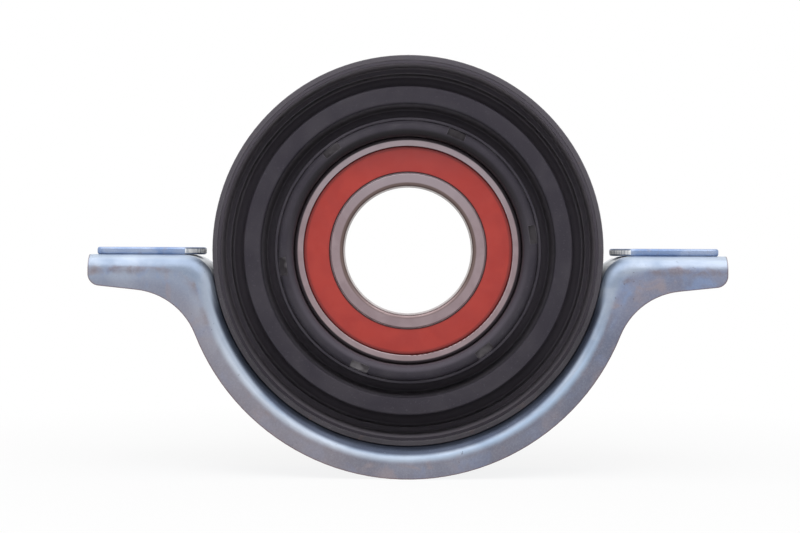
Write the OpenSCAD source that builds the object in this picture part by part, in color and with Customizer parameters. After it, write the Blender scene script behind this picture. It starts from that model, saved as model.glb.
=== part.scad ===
// Driveshaft centre bearing: a sealed ball bearing in a moulded rubber bellows,
// carried by a pressed steel strap that bolts up under a vehicle floor by its two ears.
// Millimetres. The origin is the middle of the bearing, X runs along the ears, Z is up,
// and the bearing axis is Y with the front of the part at -Y.

/* [Bearing] */
// Bore of the inner race, the shaft size
bearing_bore = 35; // [32:0.5:38]
// Outside diameter of the outer race
bearing_od = 62; // [60:0.5:66]
// Width of both races
bearing_width = 14; // [13:0.5:18]
// Corner radius of the races at the bore and at the outside
race_corner = 1; // [0.6:0.1:1.4]
// Ball diameter as a share of the room between bore and outside
ball_share = 0.588; // [0.52:0.004:0.62]
// Number of balls
ball_count = 11; // [8:1:12]
// Running clearance between a ball and the bottom of each groove
race_clearance = 0.05; // [0.03:0.01:0.1]
// Groove radius as a share of the ball diameter
groove_share = 0.52; // [0.515:0.005:0.54]
// Height of the shoulders above the bottom of the groove as a share of the ball diameter
shoulder_share = 0.2; // [0.15:0.01:0.24]

/* [Seals] */
// Thickness of a seal
seal_thickness = 1.2; // [1:0.1:1.5]
// Gap between a seal and the ball cage behind it
seal_cage_gap = 0.36; // [0.2:0.02:0.5]
// Gap between a seal and the step of the races behind it
seal_step_gap = 0.25; // [0.15:0.05:0.35]
// Running gap between the seal lip and the inner race
seal_lip_gap = 0.35; // [0.2:0.05:0.5]
// Depth of the step that is turned into the inner race for the lip
lip_step = 0.85; // [0.6:0.05:1.1]
// Depth of the step that is turned into the outer race for the seal
rim_step = 1.76; // [1.4:0.02:2]
// Depth of the groove in the outer race that holds the seal rim
rim_groove = 0.55; // [0.3:0.05:0.8]
// Width of that groove
rim_groove_width = 0.9; // [0.7:0.05:1.1]
// Fit of the rim in its groove
rim_fit = 0.04; // [0.02:0.01:0.08]

/* [Cage] */
// Sheet thickness of the two cage halves
cage_sheet = 0.8; // [0.6:0.1:1]
// Width of the cage ribbon, measured outwards
cage_width = 3.2; // [2.6:0.1:3.8]
// Clearance of a ball in its cage pocket
pocket_clearance = 0.12; // [0.08:0.01:0.2]
// Rivet diameter
rivet_d = 1.4; // [1:0.1:1.6]
// Overhang of a rivet head all round
rivet_head = 0.45; // [0.3:0.05:0.5]
// Height of a rivet head
rivet_head_height = 0.5; // [0.3:0.05:0.6]
// Fit of a rivet in its hole
rivet_fit = 0.03; // [0.02:0.01:0.06]

/* [Inner sleeve] */
// Wall of the drawn steel sleeve round the bearing
sleeve_wall = 1.6; // [1.2:0.1:2.2]
// How far the front flange stands in front of the bearing
sleeve_rise = 2; // [1.8:0.1:3]
// How far the front flange reaches out from the sleeve wall
flange_reach = 2.3; // [1.6:0.1:3]
// How far the back lip reaches in over the outer race
back_lip = 2; // [1.4:0.1:2.3]
// Fit between the bearing and the sleeve
press_fit = 0.02; // [0.01:0.01:0.04]

/* [Rubber cushion] */
// Rubber over the edge of the sleeve flange
rim_cover = 1.1; // [0.8:0.1:1.6]
// Radius of the round bead in front of the flange
bead_radius = 2; // [1.6:0.1:2.3]
// Height of the rubber shoulder beside the bead above the flange
bead_shoulder = 0.25; // [0.15:0.05:0.6]
// Width of the inner groove
inner_groove = 3.85; // [3.2:0.05:6]
// Width of the flat ridge between the grooves
ridge_width = 4.72; // [4.4:0.02:7]
// Width of the outer groove
outer_groove = 5.85; // [5.2:0.05:9]
// Rubber lining on the inside of the outer shell
lining = 0.78; // [0.6:0.02:1.4]
// Extra thickness of the lining where the bellows is bonded to it
lining_step = 1.6; // [1.2:0.1:2]
// How far behind the bearing front the thicker lining ends
lining_step_depth = 9; // [6:0.5:11]
// How far the ridge stands in front of the bearing
ridge_rise = 2; // [0:0.1:4]
// Edge radius of the ridge
ridge_edge = 0.6; // [0.3:0.1:1]
// Depth of the inner groove below the ridge
inner_depth = 13; // [10:0.5:14]
// Depth of the outer groove below the ridge
outer_depth = 16.5; // [14:0.5:17.5]
// Widening of each ridge wall towards its root
wall_draft = 0.75; // [0.3:0.05:1]
// Width of the back groove at its end inside the ridge
back_groove = 1.7; // [1.2:0.1:2.2]
// Rubber in front of the end of the back groove
back_groove_cover = 3.5; // [2:0.1:6]
// Radius of the bellows folds beside the back groove
fold_radius = 2.2; // [1.2:0.1:2.6]
// Number of mould support notches in the bead
notch_count = 6; // [3:1:8]
// Angle of the first notch
notch_angle = 7.5; // [0:0.5:59]
// Length of a notch along the bead
notch_length = 5; // [3:0.1:7]
// Width of a notch across the bead
notch_width = 2.2; // [1.4:0.1:2.6]
// Bonding film between rubber and steel
bond_film = 0.05; // [0.02:0.01:0.1]

/* [Outer shell] */
// Wall of the steel shell round the rubber
shell_wall = 1.4; // [1:0.1:2.4]
// Length of the shell
shell_length = 24; // [22:0.5:30]
// Edge radius of the shell
shell_edge = 0.2; // [0.1:0.05:0.6]
// How far the rubber stops short of the shell ends
lining_setback = 0.1; // [0.1:0.1:1]

/* [Bracket] */
// Overall length over both ears
span = 171.5; // [168:0.5:200]
// Width of the strap from front flange to back flange
bracket_width = 30; // [28:0.5:44]
// Sheet thickness of the strap
sheet = 2.5; // [2:0.1:3.2]
// Inside radius of the bend between web and flange
bend_inside = 1.7; // [1:0.1:2.5]
// Height of the flanges round the seat
flange_height = 8.6; // [7.5:0.1:12]
// Height of the flanges at the end of each ear
ear_height = 8.1; // [7.5:0.1:11]
// Angle by which the lower flange edge slopes down along each ear towards the seat
ear_taper = 6; // [0:0.5:8]
// Distance of the ear top below the bearing axis
ear_drop = 1.3; // [0:0.1:4]
// Radius of the bend from each ear into the seat
ear_bend = 8.5; // [7:0.1:10]
// How much the sheet thins on each face where it is bent into an ear
bend_thinning = 0.05; // [0.04:0.01:0.1]
// Radius of the flange edge under each ear
gusset_radius = 19; // [12:0.5:22]
// Corner radius at the end of each ear flange
ear_corner = 3.2; // [1:0.1:3.5]
// Fit between the shell and its seat in the strap
seat_fit = 0.05; // [0.02:0.01:0.1]

/* [Ear fixings] */
// Distance of the bolt slot centre from the end of the ear
bolt_inset = 12.75; // [11:0.25:14]
// Width of the bolt slots
slot_width = 11; // [9:0.5:12]
// Length of the bolt slots from end to end
slot_length = 16; // [13:0.5:17]
// Thickness of the ear plates
plate_thickness = 2; // [1.5:0.1:4]
// How far the plates stop short of the ear ends
plate_inset = 1.7; // [1:0.1:2.5]
// Gap between the plates and the shell
plate_shell_gap = 3.1; // [1:0.1:4]
// Gap between the plate edges and the bends of the ear
plate_margin = 0.4; // [0:0.1:1.5]
// Length of the plate corners that are cut away next to the shell, along the ear
plate_cut = 4.3; // [3:0.1:7]
// Depth of those corners, across the ear
plate_cut_depth = 7; // [1:0.5:8]
// Corner radius at the outer end of the plates
plate_corner = 1.5; // [0.5:0.1:3]

/* [Node] */
// Sub-part to draw

/* [Hidden] */
$fn = 96;
over = 0.2;

// Bearing radii and levels, with levels measured forwards from the middle of the bearing
bore_r = bearing_bore / 2;
race_out_r = bearing_od / 2;
half_width = bearing_width / 2;
pitch_r = (bore_r + race_out_r) / 2;
ball_d = ball_share * (race_out_r - bore_r);
ball_r = ball_d / 2;
groove_r = ball_d * groove_share;
shoulder = shoulder_share * ball_d;
inner_groove_r = pitch_r - ball_r - race_clearance;
outer_groove_r = pitch_r + ball_r + race_clearance;
inner_land_r = inner_groove_r + shoulder;
outer_land_r = outer_groove_r - shoulder;
pocket_r = ball_r + pocket_clearance;
cage_top = pocket_r + cage_sheet;
cage_in_r = pitch_r - cage_width / 2;
cage_out_r = pitch_r + cage_width / 2;
ball_step = 360 / ball_count;
seal_back = cage_top + seal_cage_gap;
seal_face = seal_back + seal_thickness;
step_level = seal_back - seal_step_gap;
lip_step_r = inner_land_r - lip_step;
rim_step_r = outer_land_r + rim_step;
rim_groove_bottom = rim_step_r + rim_groove;

// Sleeve
sleeve_in_r = race_out_r + press_fit;
sleeve_out_r = sleeve_in_r + sleeve_wall;
sleeve_front = half_width + sleeve_rise;
sleeve_back = -half_width - sleeve_wall;
flange_r = sleeve_out_r + flange_reach;

// Rubber, built outwards from the sleeve
collar_r = flange_r + rim_cover;
collar_face = sleeve_front + bead_shoulder;
bead_r = sleeve_in_r + bond_film + bead_radius;
ridge_in_r = collar_r + inner_groove;
ridge_out_r = ridge_in_r + ridge_width;
ridge_mid_r = (ridge_in_r + ridge_out_r) / 2;
lining_r = ridge_out_r + outer_groove;
step_r = lining_r - lining_step;
rubber_r = lining_r + lining;
ridge_face = half_width + ridge_rise;
inner_floor = ridge_face - inner_depth;
outer_floor = ridge_face - outer_depth;
inner_back = sleeve_back;
outer_back = -shell_length / 2 + lining_setback;
lining_front = shell_length / 2 - lining_setback;
step_face = half_width - lining_step_depth;
back_groove_end = ridge_face - back_groove_cover;

// Shell
shell_in_r = rubber_r + bond_film;
shell_r = shell_in_r + shell_wall;

// Strap
seat_r = shell_r + seat_fit;
bend_r = bend_inside + sheet;
web_half = bracket_width / 2 - bend_r;
flange_edge_r = seat_r + flange_height;
ear_end = span / 2;
ear_top = -ear_drop;
ear_low = ear_top - ear_height;
bend_y = ear_top - ear_bend;
bend_x = sqrt(pow(seat_r + ear_bend, 2) - pow(bend_y, 2));
bend_angle = atan2(-bend_y, bend_x);
// Centre of the hollow edge, first in a frame that slopes with the ear, then in the upright one
gusset_level = ear_low * cos(ear_taper) - ear_end * sin(ear_taper) - gusset_radius;
gusset_along = sqrt(pow(flange_edge_r + gusset_radius, 2) - pow(gusset_level, 2));
gusset_x = gusset_along * cos(ear_taper) - gusset_level * sin(ear_taper);
gusset_y = gusset_along * sin(ear_taper) + gusset_level * cos(ear_taper);
gusset_angle = atan2(-gusset_y, gusset_x);
stub = (bend_r + ear_bend) / 2;
bend_turn = 90 - bend_angle;
// Angle by which each thinner bend starts inside the seat and ends inside the ear
bend_lap = 2;

// Ear fixings
bolt_x = ear_end - bolt_inset;
plate_half = web_half - plate_margin;
plate_in = shell_r + plate_shell_gap;
plate_out = ear_end - plate_inset;

FIXED_NODES = [
    "bracket", "ear_plate_left", "ear_plate_right", "outer_shell", "rubber_cushion", "inner_sleeve",
    "outer_race", "inner_race", "seal_front", "seal_rear", "cage_front", "cage_rear", "cage_rivets"
];

// Stands the front view up: drawn right, up and forwards, it becomes X, Z and -Y
module upright() {
    rotate([90, 0, 0]) children();
}

// Rectangle from its two corners
module block(x0, y0, x1, y1) {
    translate([x0, y0]) square([x1 - x0, y1 - y0]);
}

// What lies between a square corner and the quarter circle that rounds it
module corner(x, y, r, side_x, side_y) {
    cx = x - side_x * r;
    cy = y - side_y * r;
    tx = x + side_x * over;
    ty = y + side_y * over;
    difference() {
        block(min(cx, tx), min(cy, ty), max(cx, tx), max(cy, ty));
        translate([cx, cy]) circle(r);
    }
}

// Rectangle with rounded corners
module rounded_block(x0, y0, x1, y1, r) {
    difference() {
        block(x0, y0, x1, y1);
        corner(x0, y0, r, -1, -1);
        corner(x1, y0, r, 1, -1);
        corner(x0, y1, r, -1, 1);
        corner(x1, y1, r, 1, 1);
    }
}

module outer_race_section() {
    difference() {
        block(outer_land_r, -half_width, race_out_r, half_width);
        translate([outer_groove_r - groove_r, 0]) circle(groove_r);
        for (side = [0, 1]) {
            mirror([0, side]) {
                block(outer_land_r - over, step_level, rim_step_r, half_width + over);
                block(rim_step_r - over, step_level, rim_groove_bottom, step_level + rim_groove_width);
                corner(race_out_r, half_width, race_corner, 1, 1);
                corner(rim_step_r, half_width, race_corner / 4, -1, 1);
            }
        }
    }
}

module inner_race_section() {
    difference() {
        block(bore_r, -half_width, inner_land_r, half_width);
        translate([inner_groove_r + groove_r, 0]) circle(groove_r);
        for (side = [0, 1]) {
            mirror([0, side]) {
                block(lip_step_r, step_level, inner_land_r + over, half_width + over);
                corner(bore_r, half_width, race_corner, -1, 1);
                corner(lip_step_r, half_width, race_corner / 4, 1, 1);
            }
        }
    }
}

// Moulded seal: thin lip inside, flat face, rounded shoulder and a rim that snaps into its groove
module seal_section() {
    lip_r = lip_step_r + seal_lip_gap;
    rim_r = rim_groove_bottom - rim_fit;
    disc_r = rim_step_r - rim_fit;
    rim_low = step_level + rim_fit;
    rim_high = step_level + rim_groove_width - rim_fit;
    difference() {
        union() {
            block(lip_r, seal_back, disc_r, seal_face);
            block(outer_land_r + rim_fit, rim_low, rim_r, rim_high);
        }
        corner(disc_r, seal_face, seal_thickness * 0.42, 1, 1);
        corner(lip_r, seal_face, seal_thickness * 0.2, -1, 1);
    }
}

// Turns children to the place of ball number i
module at_ball(i) {
    rotate([0, 0, 90 + i * ball_step]) translate([pitch_r, 0, 0]) children();
}

// One half of the riveted ribbon cage, with a round pocket over each ball
module cage_half() {
    difference() {
        intersection() {
            rotate_extrude() block(cage_in_r, 0, cage_out_r, cage_top + over);
            union() {
                cylinder(r = cage_out_r + over, h = cage_sheet);
                for (i = [1 : ball_count]) {
                    at_ball(i) sphere(cage_top);
                }
            }
        }
        for (i = [1 : ball_count]) {
            at_ball(i) sphere(pocket_r);
            at_ball(i + 0.5) cylinder(r = rivet_d / 2 + rivet_fit, h = 4 * cage_sheet, center = true);
        }
    }
}

module rivet_section() {
    head_r = rivet_d / 2 + rivet_head;
    reach = cage_sheet + rivet_head_height;
    block(0, -reach, rivet_d / 2, reach);
    for (side = [0, 1]) {
        mirror([0, side]) {
            difference() {
                block(0, cage_sheet, head_r, reach);
                corner(head_r, reach, rivet_head_height * 0.8, 1, 1);
            }
        }
    }
}

// Drawn sleeve: flange out at the front, lip in at the back; grow widens it for the rubber round it
module sleeve_outline(grow) {
    block(sleeve_in_r, sleeve_back - grow, sleeve_out_r + grow, sleeve_front + grow);
    block(sleeve_in_r, sleeve_front - sleeve_wall - grow, flange_r + grow, sleeve_front + grow);
}

module sleeve_section() {
    difference() {
        union() {
            sleeve_outline(0);
            block(race_out_r - back_lip, sleeve_back, sleeve_out_r, -half_width);
        }
        corner(sleeve_in_r, sleeve_front, sleeve_wall * 0.6, -1, 1);
        corner(sleeve_out_r, sleeve_back, sleeve_wall * 0.6, 1, -1);
    }
}

// Front groove between the collar and the ridge, with a round floor
module inner_groove_section() {
    end_r = (ridge_in_r - wall_draft - collar_r) / 2;
    mid_r = collar_r + end_r;
    top = collar_face + over;
    turn = inner_floor + end_r;
    polygon([
        [collar_r, turn], [ridge_in_r - wall_draft, turn],
        [ridge_in_r, ridge_face], [ridge_in_r, top], [collar_r, top]
    ]);
    translate([mid_r, turn]) circle(end_r);
}

// Front groove between the ridge and the shell lining, with a round floor and the lining step
module outer_groove_section() {
    root_r = ridge_out_r + wall_draft;
    end_r = (step_r - root_r) / 2;
    top = lining_front + over;
    turn = outer_floor + end_r;
    difference() {
        polygon([
            [ridge_out_r, top], [ridge_out_r, ridge_face], [root_r, turn], [step_r, turn],
            [step_r, step_face], [lining_r, step_face], [lining_r, top]
        ]);
        corner(lining_r, step_face, lining_step * 0.55, 1, -1);
    }
    translate([root_r + end_r, turn]) circle(end_r);
    corner(step_r, step_face, lining_step * 0.4, -1, 1);
}

// Back groove that makes the ridge a hollow fold
module back_groove_section() {
    end_r = back_groove / 2;
    turn = back_groove_end - end_r;
    mouth = end_r + wall_draft / 2;
    straight = inner_back + fold_radius;
    polygon([
        [ridge_mid_r - mouth, outer_back - over], [ridge_mid_r + mouth, outer_back - over],
        [ridge_mid_r + mouth, straight], [ridge_mid_r + end_r, turn],
        [ridge_mid_r - end_r, turn], [ridge_mid_r - mouth, straight]
    ]);
    translate([ridge_mid_r, turn]) circle(end_r);
    corner(ridge_mid_r - mouth, inner_back, fold_radius, 1, -1);
    corner(ridge_mid_r + mouth, outer_back, fold_radius, -1, -1);
    block(sleeve_in_r, outer_back - over, ridge_mid_r, inner_back);
}

module rubber_section() {
    difference() {
        union() {
            block(sleeve_in_r, outer_back, collar_r, collar_face);
            block(collar_r - over, outer_back, ridge_out_r, ridge_face);
            block(ridge_out_r - over, outer_back, rubber_r, step_face);
            block(lining_r, outer_back, rubber_r, lining_front);
            translate([bead_r, sleeve_front + bond_film]) circle(bead_radius);
        }
        block(0, outer_back - over, sleeve_in_r + bond_film, collar_face + 2 * bead_radius);
        sleeve_outline(bond_film);
        inner_groove_section();
        outer_groove_section();
        back_groove_section();
        corner(ridge_in_r, ridge_face, ridge_edge, -1, 1);
        corner(ridge_out_r, ridge_face, ridge_edge, 1, 1);
    }
}

// Strap profile: first size runs from the seat outwards, second forwards; thin comes off each face
module strap_section(thin) {
    block(thin, -web_half, sheet - thin, web_half);
    for (side = [0, 1]) {
        mirror([0, side]) {
            translate([bend_r, web_half]) {
                intersection() {
                    difference() {
                        circle(bend_r - thin);
                        circle(bend_inside + thin);
                    }
                    block(-bend_r, 0, 0, bend_r);
                }
            }
            block(bend_r, web_half + bend_inside + thin, stub, web_half + bend_r - thin);
        }
    }
}

// Strap along the seat, from ear bend to ear bend
module seat_strap() {
    rotate([0, 0, bend_angle - 180]) {
        rotate_extrude(angle = 180 - 2 * bend_angle) translate([seat_r, 0]) strap_section(0);
    }
}

// Strap bent from the seat into an ear; side is -1 for the left ear and 1 for the right one
module bend_strap(side) {
    translate([side * bend_x, bend_y, 0]) {
        rotate([0, 0, (side > 0 ? 90 : bend_angle) - bend_lap]) {
            rotate_extrude(angle = bend_turn + 2 * bend_lap) {
                translate([ear_bend, 0]) mirror([1, 0]) strap_section(bend_thinning);
            }
        }
    }
}

// Strap along an ear
module ear_strap(side) {
    translate([side > 0 ? ear_end : -bend_x, ear_top, 0]) {
        rotate([90, 0, -90]) linear_extrude(ear_end - bend_x) strap_section(0);
    }
}

// Flange seen from the front: rim of the seat, and on each side a corner with a hollow edge and the ear
module flange_outline() {
    lap = (bend_r + stub) / 2;
    lap_r = seat_r + lap;
    lap_angle = (gusset_angle + bend_angle) / 2;
    lap_x = (gusset_x + bend_x) / 2;
    lap_y = ear_top - lap;
    far = 2 * flange_edge_r;
    difference() {
        intersection() {
            circle(flange_edge_r);
            polygon([
                [0, 0], [-far * cos(lap_angle), -far * sin(lap_angle)], [-far, -far],
                [far, -far], [far * cos(lap_angle), -far * sin(lap_angle)]
            ]);
        }
        circle(lap_r);
    }
    for (side = [0, 1]) {
        mirror([side, 0]) {
            difference() {
                polygon([
                    [bend_x, lap_y],
                    [lap_r * cos(bend_angle), -lap_r * sin(bend_angle)],
                    [lap_r * cos(gusset_angle), -lap_r * sin(gusset_angle)],
                    [gusset_x, gusset_y], [gusset_x - (lap_y - gusset_y) * tan(ear_taper), lap_y]
                ]);
                translate([gusset_x, gusset_y]) circle(gusset_radius);
            }
            polygon([
                [lap_x, ear_low - (ear_end - lap_x) * tan(ear_taper)], [ear_end, ear_low],
                [ear_end, lap_y], [lap_x, lap_y]
            ]);
        }
    }
}

// What is cut off to round the lower corner at the end of the right-hand ear, seen from the front
module ear_corner_outline() {
    x = ear_end - ear_corner;
    y = ear_low + ear_corner * (1 - sin(ear_taper)) / cos(ear_taper);
    reach = ear_corner + over;
    difference() {
        polygon([
            [x, y], [x + reach * sin(ear_taper), y - reach * cos(ear_taper)],
            [ear_end + over, y - reach * cos(ear_taper)], [ear_end + over, y]
        ]);
        translate([x, y]) circle(ear_corner);
    }
}

// Round-ended bolt slot, seen from above
module slot_outline() {
    half = (slot_length - slot_width) / 2;
    block(-half, -slot_width / 2, half, slot_width / 2);
    translate([-half, 0]) circle(slot_width / 2);
    translate([half, 0]) circle(slot_width / 2);
}

module bracket() {
    color("Gainsboro") {
        upright() {
            difference() {
                union() {
                    union() {
                        seat_strap();
                        translate([0, 0, bracket_width / 2 - sheet]) linear_extrude(sheet) flange_outline();
                        translate([0, 0, -bracket_width / 2]) linear_extrude(sheet) flange_outline();
                    }
                    for (side = [-1, 1]) {
                        bend_strap(side);
                        ear_strap(side);
                    }
                }
                for (side = [-1, 1]) {
                    translate([side * bolt_x, ear_top - sheet / 2, 0]) {
                        rotate([90, 0, 0]) linear_extrude(2 * sheet, center = true) slot_outline();
                    }
                }
                for (side = [0, 1]) {
                    mirror([side, 0, 0]) {
                        linear_extrude(bracket_width + over, center = true) ear_corner_outline();
                    }
                }
            }
        }
    }
}

// Slotted plate on the right-hand ear, with its corners cut away next to the shell
module ear_plate() {
    translate([0, ear_top, 0]) {
        rotate([-90, 0, 0]) {
            linear_extrude(plate_thickness) {
                difference() {
                    polygon([
                        [plate_in, -plate_half + plate_cut_depth], [plate_in + plate_cut, -plate_half],
                        [plate_out, -plate_half], [plate_out, plate_half],
                        [plate_in + plate_cut, plate_half], [plate_in, plate_half - plate_cut_depth]
                    ]);
                    corner(plate_out, plate_half, plate_corner, 1, 1);
                    corner(plate_out, -plate_half, plate_corner, 1, -1);
                    translate([bolt_x, 0]) slot_outline();
                }
            }
        }
    }
}

module ear_plate_left() {
    color("LightSteelBlue") upright() mirror([1, 0, 0]) ear_plate();
}

module ear_plate_right() {
    color("LightSteelBlue") upright() ear_plate();
}

module outer_shell() {
    color("DarkSlateGray") {
        upright() {
            rotate_extrude() {
                rounded_block(shell_in_r, -shell_length / 2, shell_r, shell_length / 2, shell_edge);
            }
        }
    }
}

module rubber_cushion() {
    notch_r = bead_r + bead_radius + bond_film - notch_width;
    notch_floor = sleeve_front + bond_film;
    color("DimGray") {
        upright() {
            difference() {
                rotate_extrude() rubber_section();
                for (i = [0 : notch_count - 1]) {
                    rotate([0, 0, notch_angle + i * 360 / notch_count]) {
                        translate([notch_r, -notch_length / 2, notch_floor]) {
                            cube([notch_width, notch_length, 2 * bead_radius]);
                        }
                    }
                }
            }
        }
    }
}

module inner_sleeve() {
    color("SlateGray") upright() rotate_extrude() sleeve_section();
}

module outer_race() {
    color("Silver") upright() rotate_extrude() outer_race_section();
}

module inner_race() {
    color("Silver") upright() rotate_extrude() inner_race_section();
}

module seal_front() {
    color("IndianRed") upright() rotate_extrude() seal_section();
}

module seal_rear() {
    color("IndianRed") upright() mirror([0, 0, 1]) rotate_extrude() seal_section();
}

module cage_front() {
    color("DarkGray") upright() cage_half();
}

module cage_rear() {
    color("DarkGray") upright() mirror([0, 0, 1]) cage_half();
}

module cage_rivets() {
    color("LightGray") {
        upright() {
            for (i = [1 : ball_count]) {
                at_ball(i + 0.5) rotate_extrude() rivet_section();
            }
        }
    }
}

module ball(i) {
    color("White") upright() at_ball(i) sphere(ball_r);
}

bracket();
ear_plate_left();
ear_plate_right();
outer_shell();
rubber_cushion();
inner_sleeve();
outer_race();
inner_race();
seal_front();
seal_rear();
cage_front();
cage_rear();
cage_rivets();
for (i = [1 : ball_count]) ball(i);
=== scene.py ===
"""Looks of the driveshaft centre bearing: finishes, rubber, ear plates, studio and camera."""
import math

import bpy
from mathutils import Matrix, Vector


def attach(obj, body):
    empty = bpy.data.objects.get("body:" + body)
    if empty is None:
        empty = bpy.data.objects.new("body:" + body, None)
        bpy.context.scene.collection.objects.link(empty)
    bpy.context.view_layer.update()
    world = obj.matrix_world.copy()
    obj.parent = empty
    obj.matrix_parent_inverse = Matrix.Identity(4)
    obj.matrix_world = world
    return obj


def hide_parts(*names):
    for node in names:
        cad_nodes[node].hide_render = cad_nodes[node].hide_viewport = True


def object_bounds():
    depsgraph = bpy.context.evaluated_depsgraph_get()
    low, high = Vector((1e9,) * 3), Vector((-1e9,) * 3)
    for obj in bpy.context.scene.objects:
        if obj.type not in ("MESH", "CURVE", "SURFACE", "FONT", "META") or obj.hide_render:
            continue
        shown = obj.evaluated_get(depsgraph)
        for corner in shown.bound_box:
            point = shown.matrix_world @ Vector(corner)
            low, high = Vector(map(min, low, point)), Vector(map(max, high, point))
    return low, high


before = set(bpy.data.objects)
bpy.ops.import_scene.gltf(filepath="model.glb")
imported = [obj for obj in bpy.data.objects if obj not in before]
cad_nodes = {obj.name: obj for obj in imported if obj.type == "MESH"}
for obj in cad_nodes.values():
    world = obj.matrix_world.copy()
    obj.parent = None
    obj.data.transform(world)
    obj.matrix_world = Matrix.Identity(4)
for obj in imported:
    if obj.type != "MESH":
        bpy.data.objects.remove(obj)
cad_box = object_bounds()

MM = 0.001

# Rubber section: distances from the bearing axis, and levels in front of the bearing's middle
SLEEVE_OUT = 32.67 * MM
SLEEVE_FRONT = 9.05 * MM
SLEEVE_BACK = -8.6 * MM
FLANGE_BACK = 7.35 * MM
FLANGE_OUT = 34.97 * MM
BEAD_AT = 33.07 * MM
BEAD_RADIUS = 2 * MM
COLLAR_OUT = 36.02 * MM
COLLAR_FACE = 9.25 * MM
PARTING_IN = 35.06 * MM
PARTING_OUT = 35.4 * MM
PARTING_AT = (PARTING_IN + PARTING_OUT) / 2
PARTING_DEPTH = 0.3 * MM
FLASH_RISE = 0.05 * MM
FLASH_LUMPS = 5 * MM
FLASH_UNEVEN = 1.2 * MM
INNER_GROOVE_AT = 37.57 * MM
INNER_GROOVE_RADIUS = 1.55 * MM
INNER_GROOVE_TURN = -2.45 * MM
RIDGE_IN = 39.87 * MM
RIDGE_OUT = 44.59 * MM
RIDGE_FACE = 9 * MM
RIDGE_EDGE = 0.6 * MM
OUTER_GROOVE_AT = 47.09 * MM
OUTER_GROOVE_RADIUS = 1.75 * MM
OUTER_GROOVE_TURN = -5.75 * MM
STEP_AT = 48.84 * MM
STEP_FACE = -2 * MM
STEP_EDGE = 0.64 * MM
STEP_HOLLOW = 0.88 * MM
LINING_IN = 50.44 * MM
LINING_OUT = 51.22 * MM
LINING_END = 11.9 * MM
LINING_EDGE = 0.15 * MM
FOLD_RADIUS = 2.2 * MM
BACK_GROOVE_AT = 42.23 * MM
BACK_GROOVE_HALF = 0.85 * MM
BACK_GROOVE_MOUTH = 1.225 * MM
BACK_GROOVE_TURN = 4.65 * MM
SPIN_STEPS = 400
MERGE_WITHIN = 0.002 * MM
RUBBER_SMOOTH = math.radians(32)

# Notches in the bead
NOTCH_COUNT = 6
NOTCH_ANGLE = 7.5
NOTCH_LENGTH = 5 * MM
NOTCH_WIDTH = 2.2 * MM
NOTCH_AT = 34.02 * MM
NOTCH_FLOOR = 8.95 * MM

# Strap seat and ear plates
SEAT = 52.72 * MM
PLATE_IN = 55.77 * MM
PLATE_OUT = 84.05 * MM
PLATE_HALF = 10.4 * MM
PLATE_LOW = -1.3 * MM
PLATE_THICK = 2 * MM
PLATE_CUT = 4.3 * MM
PLATE_CUT_DEPTH = 7 * MM
PLATE_CORNER = 1.5 * MM
PLATE_EDGE = 0.6 * MM
PLATE_SMOOTH = math.radians(35)
SLOT_AT = 73 * MM
SLOT_LENGTH = 16 * MM
SLOT_WIDTH = 11 * MM
SLOT_SIDES = 64

# Zinc plating and marks, in every finish that has them
PLATING_GRAIN = 0.5 * MM
PLATING_GRAIN_DEPTH = 0.014 * MM
SCRATCH_WIDTH = 0.14 * MM

# Camera and studio
CAMERA_DISTANCE = 0.5204
CAMERA_LENS = 85
CAMERA_SENSOR = 36
CAMERA_SHIFT = (-0.01, -0.02)
CAMERA_ROLL = -0.22
AMBIENT = 0.25
SIDE_LIGHT = 1.3
SIDE_START = math.cos(math.radians(25))
SIDE_END = math.cos(math.radians(55))
FLOOR_SIZE = 6
FLOOR_NEAR = 0.08
FLOOR_FAR = 0.26
FLOOR_GLOW = 0.86


def display(red, green, blue):
    """A colour as a screen shows it, 0 to 255, as the light values that shaders use."""
    def light(value):
        share = value / 255
        return share / 12.92 if share <= 0.04045 else ((share + 0.055) / 1.055) ** 2.4

    return (light(red), light(green), light(blue), 1.0)


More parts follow.
